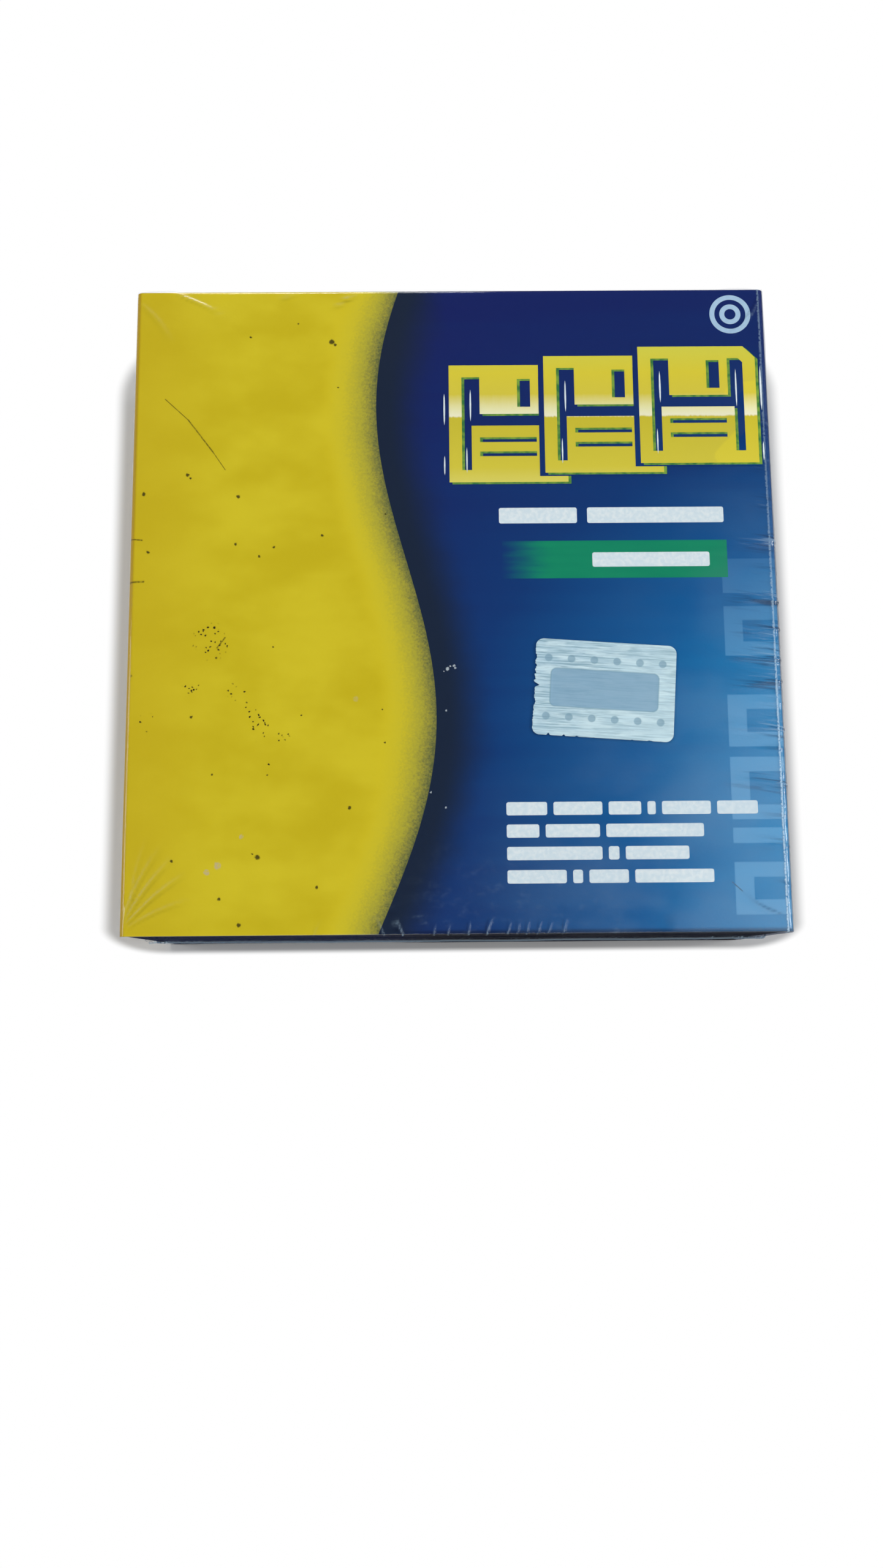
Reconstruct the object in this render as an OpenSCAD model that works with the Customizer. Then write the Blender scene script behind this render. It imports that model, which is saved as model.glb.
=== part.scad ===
// Sealed retail pack of ten 3.5 inch floppy disks, lying on its back, printed front upwards.
// +Z points out of the printed front, +Y to the top of the print, +X to its right.
// The origin is the middle of the face that the pack lies on. Sizes are in millimetres.

/* [Contents] */
// Width of one disk
disk_w = 90; // [88:0.5:92]
// Height of one disk
disk_h = 94; // [92:0.5:96]
// Thickness of one disk
disk_t = 3.3; // [3.2:0.05:3.6]
// Number of disks in the stack
disk_count = 10; // [8:1:12]

/* [Carton] */
// Thickness of the folding board
board_t = 0.5; // [0.4:0.05:0.7]
// Outside radius of a folded edge
fold_r = 0.9; // [0.8:0.05:1.2]
// Slack across the width of the stack, both sides together
slack_w = 3.76; // [1:0.02:5]
// Slack along the height of the stack, both ends together
slack_h = 1.76; // [1:0.02:4]
// Slack across the depth, where the sheet of labels lies
slack_d = 1.76; // [0.5:0.02:3]
// How far each end closure stops short of the sides
closure_inset = 1.1; // [1:0.1:2]
// Gap that the tucked closure leaves behind the front panel
tuck_gap = 0.25; // [0.15:0.05:0.4]
// Width and depth of the step along the glued edge at the back left
glue_step = 0.25; // [0.15:0.05:0.4]

/* [Print] */
// Middle of the wave that parts the yellow from the blue
wave_mid_x = -7.4; // [-12:0.1:0]
// Sideways swing of the wave
wave_swing = 6.2; // [3:0.1:8]
// Length of one whole wave
wave_length = 109; // [90:1:120]
// Height at which the wave crosses its middle
wave_cross_y = 6.3; // [0:0.1:12]
// Lean of the wave to the right, for each millimetre up
wave_lean = 0.074; // [0:0.002:0.1]
// Width of one disk drawn in gold
mark_w = 17.6; // [15:0.2:18]
// Height of one disk drawn in gold
mark_h = 18.4; // [16:0.2:19]
// Width of the lines of a drawn disk
mark_stroke = 1.9; // [1.4:0.1:2.4]
// Step across from one drawn disk to the next that lies over it
mark_step = 14.2; // [10:0.2:14.4]
// Step up from one drawn disk to the next
mark_rise = 1.4; // [0:0.1:2]
// Width of the green outline of the drawn disks
mark_rim = 0.5; // [0.3:0.1:0.8]

/* [Film] */
// Thickness of the shrunk film, thicker than the real one so that it is a solid
film_t = 0.12; // [0.1:0.02:0.16]
// Outside radius of the film over the cut ends of the front panel
film_r = 0.3; // [0.2:0.05:0.3]
// How far the welded seam stands off the sides
seam_proud = 0.4; // [0.2:0.05:0.6]
// Width of the welded seam
seam_w = 0.7; // [0.5:0.1:1.2]
// Height of a gathered pleat where it starts
pleat_h = 0.22; // [0.12:0.02:0.3]
// Width of a gathered pleat where it starts
pleat_w = 1.2; // [0.8:0.1:2]

/* [Sticker] */
// Width of the foil sticker
sticker_w = 20.4; // [16:0.2:24]
// Height of the foil sticker
sticker_h = 14.2; // [12:0.2:16]
// Thickness of the foil sticker
sticker_t = 0.12; // [0.08:0.02:0.2]
// Corner radius of the foil sticker
sticker_r = 1.2; // [0.6:0.1:2]
// How far the sticker is turned clockwise from square, in degrees
sticker_turn = 4; // [0:0.5:8]
// Number of embossed dots in each row
dot_count = 6; // [4:1:6]
// Diameter of an embossed dot
dot_d = 1.2; // [0.8:0.1:1.4]
// Pitch of the embossed dots
dot_pitch = 3.3; // [2.6:0.1:3.4]

/* [Hidden] */

$fn = 48;

// Outside of the carton
carton_w = disk_w + slack_w + 2 * board_t;
carton_h = disk_h + slack_h + 2 * board_t;
carton_d = disk_count * disk_t + slack_d + 2 * board_t;

// Outside of the film, without its seam, ears and pleats
pack_w = carton_w + 2 * film_t;
pack_h = carton_h + 2 * film_t;
pack_d = carton_d + 2 * film_t;

// The printed colours are areas of the front panel, flush with it and this deep
ink_t = 0.05;
// A point of the wave is worked out this many times along the height
wave_steps = 48;
// Top right corner of the last of the three drawn disks
mark_x = 45.6;
mark_y = 39.2;
mark_count = 3;
// Lines of print, a bar for each word: left end, right end, bottom, top, gap, and the words' proportions
text_rows = [[6.8, 39.9, 11.6, 14.0, 1.5, [4, 7]], [20.4, 37.6, 4.9, 7.1, 0, [1]],
             [7.2, 43.0, -31.7, -29.8, 0.9, [5, 6, 4, 1, 6, 5]], [7.2, 35.2, -34.9, -33.0, 0.9, [3, 5, 9]],
             [7.2, 33.0, -38.1, -36.2, 0.9, [9, 1, 6]], [7.2, 36.4, -41.4, -39.5, 0.9, [6, 1, 4, 8]]];
// Green band under the title: left end, right end, bottom and top
band = [7.2, 40.2, 3.2, 8.9];
// Ringed dot in the top right corner: middle, outer radius and width of its ring and of the gap
roundel = [42.2, 44.4, 3.1, 0.75];
// Pale blocks down the right edge: bottom and top
edge_blocks = [[-46, -38.6], [-35.9, -33.7], [-32.5, -23.5], [-22, -14.4], [-8.6, -1.2], [0.8, 6]];
edge_block_x = 39.4;

// Where the sticker lies on the front, and its embossed relief
sticker_x = 21.6;
sticker_y = -13.6;
emboss_t = 0.04;
plate_w = 15.6;
plate_h = 5.4;
dot_row_y = 4.4;

// Pleats that run in from the right and bottom edges: place along the edge, and length
right_pleats = [[27, 7], [21, 5], [14.5, 8], [8, 6], [1.5, 9], [-4, 7], [-9.5, 10], [-14, 9], [-23, 11],
                [-28, 6], [-34, 9], [-41, 5]];
bottom_pleats = [[-3.5, 5], [0.5, 4], [7, 4], [11, 6], [16, 4], [20, 5], [23.5, 4], [27, 4], [31, 5]];
// Pleats that fan out of the corners: turn from the width in degrees, and length
fan_pleats = [[20, 8], [45, 11], [70, 8]];
fan_start = 4;
// Ears of gathered film at the two top corners: length along the edge, height off it and thickness
ear_l = 7.5;
ear_h = 0.4;
ear_t = 0.5;

// Place of the wave across the front, at the height y
function wave_x(y) = wave_mid_x - wave_swing * sin(360 * (y - wave_cross_y) / wave_length) + wave_lean * y;

// Sum of the first n numbers of a list
function total(list, n) = n == 0 ? 0 : list[n - 1] + total(list, n - 1);

// A rectangle with rounded corners, made of two bars and four discs
module rounded_rect(w, h, r) {
    square([w - 2 * r, h], center = true);
    square([w, h - 2 * r], center = true);
    for (sx = [-1, 1], sy = [-1, 1])
        translate([sx * (w / 2 - r), sy * (h / 2 - r)]) circle(r);
}

// A flat shape drawn in width and depth, standing on z = 0 and run along the height of the pack
module along_height(length) {
    translate([0, length / 2, 0]) rotate([90, 0, 0]) linear_extrude(length) children();
}

// A flat shape drawn in height and depth, standing on z = 0 and run across the width of the pack
module across_width(length) {
    translate([-length / 2, 0, 0]) rotate([90, 0, 90]) linear_extrude(length) children();
}

// The carton seen along its height: three folded edges and the cut edge of the glued panel
module tube_section() {
    difference() {
        union() {
            translate([0, carton_d / 2]) rounded_rect(carton_w, carton_d, fold_r);
            translate([-carton_w / 2, 0]) square(fold_r + board_t);
        }
        translate([-carton_w / 2, board_t]) square(glue_step);
    }
}

// The four panels folded round the stack, as far as the dust flaps that close the ends inside
module wrapped_panels() {
    along_height(carton_h - 2 * board_t) tube_section();
}

// The front panel reaches past the ends by its own thickness, and shows its cut edge there
module front_panel() {
    intersection() {
        along_height(carton_h) tube_section();
        translate([-carton_w / 2, -carton_h / 2, carton_d - board_t]) cube([carton_w, carton_h, board_t]);
    }
}

// Both end closures, hinged on the back panel and tucked in behind the front panel
module end_closures() {
    tuck_z = carton_d - board_t - tuck_gap;
    across_width(carton_w - 2 * closure_inset)
        translate([0, tuck_z / 2]) rounded_rect(carton_h, tuck_z, fold_r);
}

// One bar of print, from its left and right ends and its bottom and top
module bar(b) {
    translate([b[0], b[2]]) square([b[1] - b[0], b[3] - b[2]]);
}

// The bars of one line of print, side by side in the proportions of its words
module words(row) {
    parts = row[5];
    unit = (row[1] - row[0] - row[4] * (len(parts) - 1)) / total(parts, len(parts));
    for (i = [0:len(parts) - 1])
        translate([row[0] + unit * total(parts, i) + row[4] * i, row[2]])
            square([unit * parts[i], row[3] - row[2]]);
}

// The yellow field, left of the wave, as far as the folded edge
module yellow_area() {
    top_y = carton_h / 2;
    left_x = -carton_w / 2 + fold_r;
    wave = [for (i = [0:wave_steps]) let (y = top_y - i * carton_h / wave_steps) [wave_x(y), y]];
    polygon(concat([[left_x, top_y]], wave, [[left_x, -top_y]]));
}

// Outline of a disk, with its cut corner, drawn this much larger than the mark
module mark_outline(grow) {
    w = mark_w + 2 * grow;
    h = mark_h + 2 * grow;
    cut = 0.1 * mark_w;
    translate([-mark_w - grow, -mark_h - grow])
        polygon([[0, 0], [w, 0], [w, h - cut], [w - cut, h], [0, h]]);
}

// The parts of a drawn disk that stay blue: round its shutter, its window and its label
module mark_openings() {
    difference() {
        mark_outline(-mark_stroke);
        translate([-0.74 * mark_w, -0.42 * mark_h]) square([0.5 * mark_w, 0.42 * mark_h]);
        translate([-0.81 * mark_w, -mark_h]) square([0.62 * mark_w, 0.48 * mark_h]);
    }
    translate([-0.42 * mark_w, -0.36 * mark_h]) square([0.11 * mark_w, 0.24 * mark_h]);
    for (row = [0.22, 0.34])
        translate([-0.74 * mark_w, (row - 1) * mark_h]) square([0.48 * mark_w, 0.04 * mark_h]);
}

// Place of one of the drawn disks, counted from the right, where the first lies on top
module at_mark(i) {
    translate([mark_x - i * mark_step, mark_y - i * mark_rise]) children();
}

// The green outline of each drawn disk, where no other disk lies over it
module mark_rims() {
    for (i = [0:mark_count - 1]) difference() {
        at_mark(i) mark_outline(mark_rim);
        at_mark(i) mark_outline(0);
        if (i > 0) at_mark(i - 1) mark_outline(mark_rim);
    }
}

// The gold face of each drawn disk, where no other disk lies over it
module mark_faces() {
    for (i = [0:mark_count - 1]) difference() {
        at_mark(i) mark_outline(0);
        at_mark(i) mark_openings();
        if (i > 0) at_mark(i - 1) mark_outline(mark_rim);
    }
}

// All the white print
module white_bars() {
    for (row = text_rows) words(row);
    translate([roundel[0], roundel[1]]) difference() {
        circle(roundel[2]);
        circle(roundel[2] - roundel[3]);
    }
    translate([roundel[0], roundel[1]]) circle(roundel[2] - 2 * roundel[3]);
}

// The green band, without the white bar on it
module green_band() {
    difference() {
        bar(band);
        words(text_rows[1]);
    }
}

// The yellow ink over the left fold and down the left panel, a skin flush with the board
module yellow_side() {
    intersection() {
        along_height(carton_h - 2 * board_t) difference() {
            tube_section();
            translate([0, carton_d / 2]) rounded_rect(carton_w - 2 * ink_t, carton_d - 2 * ink_t, fold_r - ink_t);
        }
        translate([-carton_w / 2, -carton_h / 2, board_t + glue_step])
            cube([fold_r, carton_h, carton_d - board_t - glue_step]);
    }
}

// The pale blocks, which run over the folded edge on the right
module pale_blocks() {
    for (b = edge_blocks) bar([edge_block_x, carton_w / 2 - fold_r, b[0], b[1]]);
}

// An area of ink, sunk flush into the front panel
module ink() {
    translate([0, 0, carton_d - ink_t]) linear_extrude(ink_t) children();
}

// The filled and closed carton: nothing can be seen of its inside, so it is one solid
module carton() {
    translate([0, 0, film_t]) {
        color("midnightblue") difference() {
            union() {
                wrapped_panels();
                front_panel();
                end_closures();
            }
            ink() yellow_area();
            yellow_side();
            ink() mark_rims();
            ink() mark_faces();
            ink() white_bars();
            ink() green_band();
            ink() pale_blocks();
        }
        color("goldenrod") ink() yellow_area();
        color("goldenrod") yellow_side();
        color("darkgreen") ink() mark_rims();
        color("gold") ink() mark_faces();
        color("white") ink() white_bars();
        color("seagreen") ink() green_band();
        color("steelblue") ink() pale_blocks();
    }
}

// The inside of the film, drawn up to the carton's folded edges and to its flat ends
module film_inside() {
    translate([0, 0, film_t]) along_height(carton_h)
        translate([0, carton_d / 2]) union() {
            rounded_rect(carton_w, carton_d, fold_r);
            translate([-carton_w / 2, -carton_d / 2]) square(fold_r);
        }
}

// The outside of the film: round over the folds, tight over the cut ends
module film_outside() {
    intersection() {
        along_height(pack_h) translate([0, pack_d / 2]) union() {
            rounded_rect(pack_w, pack_d, fold_r + film_t);
            translate([film_r - pack_w / 2, film_r - pack_d / 2]) circle(film_r);
            translate([-pack_w / 2, film_r - pack_d / 2]) square(fold_r + film_t);
            translate([film_r - pack_w / 2, -pack_d / 2]) square(fold_r + film_t);
        }
        across_width(pack_w) translate([0, pack_d / 2]) rounded_rect(pack_h, pack_d, film_r);
        linear_extrude(pack_d) rounded_rect(pack_w, pack_h, film_r);
    }
}

// One pleat on the front: a half sunk cone that starts at the origin and tapers away along +X
module pleat(length, w = pleat_w, h = pleat_h) {
    base_r = (w * w / 4 + h * h) / (2 * h);
    dip = base_r - h;
    translate([0, 0, pack_d - dip]) rotate([0, 90 - atan(dip / length), 0])
        cylinder(h = length, r1 = base_r, r2 = 0.02);
}

// Pleats of the front: along the right and bottom edges, and fanned out of three corners
module front_pleats() {
    edge_x = pack_w / 2 - fold_r;
    edge_y = pack_h / 2 - fold_r;
    for (p = right_pleats) translate([edge_x, p[0], 0]) rotate(180) pleat(p[1]);
    for (p = bottom_pleats) translate([p[0], -edge_y, 0]) rotate(90) pleat(p[1], 0.7 * pleat_w, 0.7 * pleat_h);
    for (f = fan_pleats) {
        translate([-edge_x, -edge_y, 0]) rotate(f[0]) translate([fan_start, 0, 0]) pleat(f[1]);
        translate([-edge_x, edge_y, 0]) rotate(-f[0]) translate([fan_start, 0, 0]) pleat(0.5 * f[1]);
        translate([edge_x, edge_y, 0]) rotate(180 + f[0]) translate([fan_start, 0, 0]) pleat(0.5 * f[1]);
    }
}

// The welded seam round the top, right and bottom, and the fold of the film down the left
module seam() {
    translate([0, 0, (pack_d - seam_w) / 2]) linear_extrude(seam_w)
        rounded_rect(pack_w + 2 * seam_proud, pack_h + 2 * seam_proud, 3 * film_r);
}

// Ears of gathered film that stand off the top edge at its two corners
module corner_ears() {
    outline = [[0, -fold_r], [ear_l, -fold_r], [ear_l, 0.6 * ear_h], [0.7 * ear_l, ear_h],
               [0.2 * ear_l, 0.8 * ear_h], [0, 0]];
    for (side = [0, 1]) mirror([side, 0, 0])
        translate([pack_w / 2 - 2 * film_r - ear_l, pack_h / 2, pack_d - 2 * film_r - ear_t])
            linear_extrude(ear_t) polygon(outline);
}

// The shrunk film: one closed skin round the whole carton
module film_wrap() {
    color("lightcyan", 0.3) difference() {
        union() {
            film_outside();
            front_pleats();
            seam();
            corner_ears();
        }
        film_inside();
    }
}

// The foil sticker on the film, with two rows of embossed dots and a raised bare plate
module foil_sticker() {
    color("lightsteelblue")
        translate([sticker_x, sticker_y, pack_d]) rotate(-sticker_turn) {
            linear_extrude(sticker_t) rounded_rect(sticker_w, sticker_h, sticker_r);
            linear_extrude(sticker_t + emboss_t) rounded_rect(plate_w, plate_h, plate_h / 6);
            for (i = [0:dot_count - 1], side = [-1, 1])
                translate([(i - (dot_count - 1) / 2) * dot_pitch, side * dot_row_y, 0])
                    cylinder(d = dot_d, h = sticker_t + emboss_t);
        }
}

carton();
film_wrap();
foil_sticker();
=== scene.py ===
import math

import bpy
import numpy as np
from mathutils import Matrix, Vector, noise


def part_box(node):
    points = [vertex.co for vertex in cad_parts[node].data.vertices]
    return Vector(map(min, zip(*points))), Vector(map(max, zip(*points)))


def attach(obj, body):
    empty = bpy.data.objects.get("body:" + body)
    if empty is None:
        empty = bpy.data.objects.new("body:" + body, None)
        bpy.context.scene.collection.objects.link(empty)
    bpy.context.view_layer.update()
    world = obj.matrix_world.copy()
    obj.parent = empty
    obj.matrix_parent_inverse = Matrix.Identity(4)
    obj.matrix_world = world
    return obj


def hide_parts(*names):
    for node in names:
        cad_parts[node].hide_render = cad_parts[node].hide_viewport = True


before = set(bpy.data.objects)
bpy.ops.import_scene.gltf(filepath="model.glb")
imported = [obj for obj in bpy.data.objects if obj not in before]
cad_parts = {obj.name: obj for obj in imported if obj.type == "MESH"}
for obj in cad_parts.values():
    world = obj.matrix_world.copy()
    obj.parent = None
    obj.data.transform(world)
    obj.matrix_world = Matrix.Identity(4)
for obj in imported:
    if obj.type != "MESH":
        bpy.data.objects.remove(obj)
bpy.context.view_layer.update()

bpy.ops.object.select_all(action="DESELECT")
MM = 0.001

# Carton: a straight-tuck box of 0.5 mm folding board, offset printed and varnished. The yellow wraps round
# the left fold, the rest is a navy that turns to a brighter blue down the front, and a spray-gun shadow
# runs down both sides of the wave between them. It keeps the shape of its solid and gets its ink here.
board_low, board_high = (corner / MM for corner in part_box("carton"))
BOARD_TOP = board_high.z
BOARD_T = 0.5
FOLD = 0.9
WAVE_MID, WAVE_SWING, WAVE_LENGTH, WAVE_CROSS, WAVE_LEAN = -7.4, 6.2, 109.0, 6.3, 0.074


class Shade:
    """One socket of a finish. Arithmetic on it adds Math nodes to the same finish."""

    def __init__(self, finish, socket):
        self.finish = finish
        self.socket = socket

    def maths(self, operation, *others):
        return self.finish.add("Math", {"operation": operation}, [self, *others])

    def __add__(self, other):
        return self.maths("ADD", other)

    def __sub__(self, other):
        return self.maths("SUBTRACT", other)

    def __rsub__(self, other):
        return self.finish.add("Math", {"operation": "SUBTRACT"}, [other, self])

    def __mul__(self, other):
        return self.maths("MULTIPLY", other)

    def __truediv__(self, other):
        return self.maths("DIVIDE", other)

    def __pow__(self, other):
        return self.maths("POWER", other)

    def __abs__(self):
        return self.maths("ABSOLUTE")

    def __lt__(self, other):
        return self.maths("LESS_THAN", other)

    def __gt__(self, other):
        return self.maths("GREATER_THAN", other)

    __radd__ = __add__
    __rmul__ = __mul__

    def over(self, other):
        """The larger of two masks."""
        return self.maths("MAXIMUM", other)

    def rise(self, start, end, low=0.0, high=1.0):
        """A smooth step from low at start to high at end."""
        sockets = {"Value": self, "From Min": start, "From Max": end, "To Min": low, "To Max": high}
        return self.finish.add("MapRange", {"interpolation_type": "SMOOTHSTEP"}, sockets)


class Finish:
    """A material of nodes, or the sky's. Every node gets into it through add()."""

    def __init__(self, name, owner=None):
        self.material = owner or bpy.data.materials.new(name)
        self.material.use_nodes = True
        self.tree = self.material.node_tree
        self.tree.nodes.clear()

    def add(self, kind, settings=None, sockets=(), output=0):
        node = self.tree.nodes.new("ShaderNode" + kind)
        for key, value in (settings or {}).items():
            if key == "stops":
                while len(node.color_ramp.elements) < len(value):
                    node.color_ramp.elements.new(1.0)
                for element, (place, colour) in zip(node.color_ramp.elements, value):
                    element.position = place
                    element.color = colour
            else:
                setattr(node, key, value)
        for key, value in sockets.items() if isinstance(sockets, dict) else enumerate(sockets):
            if isinstance(value, Shade):
                self.tree.links.new(value.socket, node.inputs[key])
            else:
                node.inputs[key].default_value = value
        return Shade(self, node.outputs[output]) if node.outputs else None

    def parts(self, vector):
        """The three numbers of a vector."""
        node = self.add("SeparateXYZ", None, [vector]).socket.node
        return [Shade(self, output) for output in node.outputs]

    def place(self):
        """The point on the piece in millimetres, whole and as its three numbers."""
        point = self.add("VectorMath", {"operation": "SCALE"}, {0: self.add("TexCoord", output=3), 3: 1 / MM})
        return point, *self.parts(point)

    def stretched(self, point, sizes):
        """The point with each axis divided by the size of the grain along it."""
        scale = [1 / size for size in sizes]
        return self.add("VectorMath", {"operation": "MULTIPLY"}, {0: point, 1: scale})

    def grain(self, point, sizes, detail=3.0, roughness=0.55):
        """Noise from 0 to 1 whose features have these sizes along X, Y and Z."""
        sockets = {"Vector": self.stretched(point, sizes), "Scale": 1.0}
        return self.add("TexNoise", None, {**sockets, "Detail": detail, "Roughness": roughness})

    def blend(self, share, first, second):
        """Colours mixed: all first at 0 and all second at 1."""
        return self.add("Mix", {"data_type": "RGBA"}, {0: share, 6: first, 7: second}, output=2)

    def bump(self, height, strength, distance):
        return self.add("Bump", None, {"Height": height, "Strength": strength, "Distance": distance})

    def surface(self, shader):
        self.add("OutputMaterial", None, {"Surface": shader})
        return self.material


def colour(red, green, blue):
    """A colour as it looks on paper, from 0 to 255, turned to linear light."""
    parts = [c / 255 for c in (red, green, blue)]
    return [c / 12.92 if c <= 0.04045 else ((c + 0.055) / 1.055) ** 2.4 for c in parts] + [1.0]


def blue_field(finish, point, x, y):
    """The blue of the print: navy at the top, brighter down the front and to its right, faintly banded."""
    down = y.rise(50, -20)
    across = (x + 8) / 56
    bands = finish.grain(point, (60, 2.6, 30), 2.0) - 0.5
    tone = down * (across * 0.65 + 0.16) + across * 0.07 + bands * 0.09
    stops = [(0.0, colour(20, 32, 92)), (0.3, colour(15, 54, 111)), (0.6, colour(16, 88, 146)),
             (1.0, colour(40, 142, 194))]
    return finish.add("ValToRGB", {"stops": stops}, {"Fac": tone})


def wave_gap(x, y):
    """Distance across the front from the wave: below 0 on the yellow, above 0 on the blue."""
    turn = ((y - WAVE_CROSS) * (2 * math.pi / WAVE_LENGTH)).maths("SINE")
    return (x - WAVE_MID + turn * WAVE_SWING - y * WAVE_LEAN) * 0.96


def speck(finish, place, x, y, size):
    """A dot of dirt with a soft, uneven rim."""
    gap = finish.add("VectorMath", {"operation": "DISTANCE"}, {0: place, 1: (x, y, 0)}, output=1)
    return gap.rise(size * 1.25, size * 0.6)


def scratch(finish, x, y, start, end, width):
    """A straight hairline from start to end."""
    run = Vector(end) - Vector(start)
    along = ((x - start[0]) * run.x + (y - start[1]) * run.y) / run.length_squared
    along = finish.add("Clamp", None, [along, 0.0, 1.0])
    off_x = x - start[0] - along * run.x
    off_y = y - start[1] - along * run.y
    return ((off_x * off_x + off_y * off_y) ** 0.5).rise(width, width * 0.3)


printed = Finish("printed_board")
point, x, y, z = printed.place()
gap = wave_gap(x, y)
fine = printed.grain(point, (0.3, 0.3, 0.3), 2.0, 0.7)
soft = printed.grain(point, (14, 9, 9), 3.0)

# The yellow, a little deeper to the left and turned brown by painted shade over the left fold and panel, and
# its sprayed shadow
yellow = printed.blend(soft.rise(0.3, 0.7), colour(194, 174, 26), colour(206, 188, 38))
yellow = printed.blend(x.rise(-30, -48) * 0.7, yellow, colour(194, 170, 30))
# Painted shade: the yellow turns darker brown over the left fold and stays so over the whole left panel
yellow = printed.blend(x.rise(-46.5, -47.0), yellow, colour(170, 138, 22))
sprayed = gap + (fine - 0.5) * 3.4 + (soft - 0.5) * 1.4
stops = [(0.0, colour(207, 188, 36)), (0.35, colour(200, 184, 42)), (0.7, colour(168, 160, 54)),
         (0.88, colour(128, 126, 60)), (1.0, colour(90, 96, 58))]
shadow = printed.add("ValToRGB", {"stops": stops}, {"Fac": (sprayed + 7.5) / 7.8})
yellow = printed.blend(gap.rise(-8.5, -5.5), yellow, shadow)

# The blue and its shadow, which the wave throws
blue = blue_field(printed, point, x, y)
dark_end = soft.rise(0.2, 0.8, 6.0, 8.6)
shade = ((gap - 1.4 + (fine - 0.5) * 0.8) / dark_end).rise(1.0, 0.0)
blue = printed.blend(shade * 0.95, blue, colour(24, 36, 54))

# Pale blocks down the right side, which run over the fold and end on the right panel. The tall ones are
# hollow. Places across are along the board, from the middle of the front over the fold.
BLOCKS_START, BLOCKS_END, HOLLOW_START, HOLLOW_END, BLOCK_STROKE = 39.3, 52.0, 42.0, 49.5, 2.1
BLOCKS = [(-46.0, -38.6), (-35.9, -33.7), (-32.5, -23.5), (-22.0, -14.4), (-8.6, -1.2), (0.8, 6.0)]
unrolled = x + (BOARD_TOP - z)
blocks = 0.0
for bottom, top in BLOCKS:
    off = abs(y - (bottom + top) / 2)
    reach = (top - bottom) / 2
    inside = off.rise(reach + 0.08, reach - 0.08)
    if reach > 3:
        hollow = off.rise(reach - BLOCK_STROKE + 0.1, reach - BLOCK_STROKE - 0.1)
        hollow = hollow * unrolled.rise(HOLLOW_START - 0.1, HOLLOW_START + 0.1)
        inside = inside - hollow * unrolled.rise(HOLLOW_END + 0.1, HOLLOW_END - 0.1)
    blocks = inside + blocks
blocks = blocks * unrolled.rise(BLOCKS_START - 0.05, BLOCKS_START + 0.1)
blocks = blocks * unrolled.rise(BLOCKS_END + 0.1, BLOCKS_END - 0.1) * y.rise(14, -24, 0.1, 0.5)
blue = printed.blend(blocks, blue, colour(112, 172, 212))

# Where each colour lies: yellow on the front left of the wave and all over the left panel
front = z > BOARD_TOP - FOLD
left_panel = x < board_low.x + FOLD * 0.9
ends = (abs(y) > board_high.y - 0.7) * (z < BOARD_TOP - BOARD_T)
is_yellow = (gap < 0) * front
is_yellow = is_yellow.over(left_panel) * (1 - ends)
ink = printed.blend(is_yellow, blue, yellow)
navy = printed.blend(soft, colour(14, 36, 96), colour(18, 46, 110))
ink = printed.blend((1 - front) * (1 - left_panel) * (1 - blocks * 1.4).over(0.0), ink, navy)
ink = printed.blend(ends, ink, printed.blend(soft, colour(8, 16, 46), colour(12, 24, 62)))

# Dirt and wear: single specks, sprinkled patches, scratches, pale scuffs and pale specks
WANDER = 0.45
noisy = printed.add("TexNoise", None, {"Vector": point, "Scale": 2.2, "Detail": 2.0}, output=1)
wander = printed.add("VectorMath", {"operation": "SCALE"}, {0: noisy, 3: WANDER})
flat = printed.add("VectorMath", {"operation": "MULTIPLY"}, {0: point, 1: (1, 1, 0)})
flat = printed.add("VectorMath", {"operation": "ADD"}, {0: flat, 1: wander})
centred = {0: flat, 1: (1, 1, 0), 2: (-WANDER / 2, -WANDER / 2, 0)}
flat = printed.add("VectorMath", {"operation": "MULTIPLY_ADD"}, centred)
# Each speck and patch: place and radius
SPECKS = [(-17.9, 40.3, 0.42), (-17.4, 39.8, 0.24), (-39.1, 19.4, 0.26), (-38.7, 18.9, 0.18),
          (-45.5, 16.5, 0.3), (-31.6, 16.0, 0.28), (-44.7, 7.6, 0.22), (-31.9, 8.7, 0.24),
          (-26.3, 8.2, 0.18), (-19.2, 10.0, 0.2), (-28.4, 6.8, 0.18), (-28.1, -37.4, 0.38),
          (-28.8, -36.9, 0.16), (-19.7, -41.7, 0.26), (-33.4, -43.2, 0.24), (-30.6, -46.9, 0.28),
          (-37.9, -17.1, 0.24), (-34.7, -25.5, 0.14), (-26.8, -25.6, 0.16), (-15.1, -30.4, 0.24),
          (-10.0, -21.0, 0.17), (-10.4, -16.2, 0.15), (-22.0, -17.0, 0.15), (-26.2, -6.8, 0.16),
          (-46.6, -11.0, 0.16), (-40.2, -37.8, 0.2), (-23.0, 43.2, 0.14), (-30.1, 41.1, 0.16),
          (-16.9, 33.0, 0.14), (-9.9, 13.2, 0.18)]
dirt = 0.0
for spot in SPECKS:
    dirt = speck(printed, flat, *spot).over(dirt)
sockets = {"Vector": flat, "Scale": 1.45, "Randomness": 1.0}
pepper = printed.add("TexVoronoi", {"feature": "F1"}, sockets).rise(0.26, 0.14)
PATCHES = [(-35.2, -6.0, 2.6), (-31.4, -13.4, 1.3), (-29.6, -16.2, 1.3), (-28.6, -18.4, 2.2),
           (-44.4, -18.0, 1.5), (-38.0, -12.4, 1.2), (-24.6, -20.2, 0.9), (-26.6, -24.4, 0.8)]
for patch in PATCHES:
    dirt = (speck(printed, flat, *patch).rise(0.0, 0.6) * pepper * 1.2).over(dirt)
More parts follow.
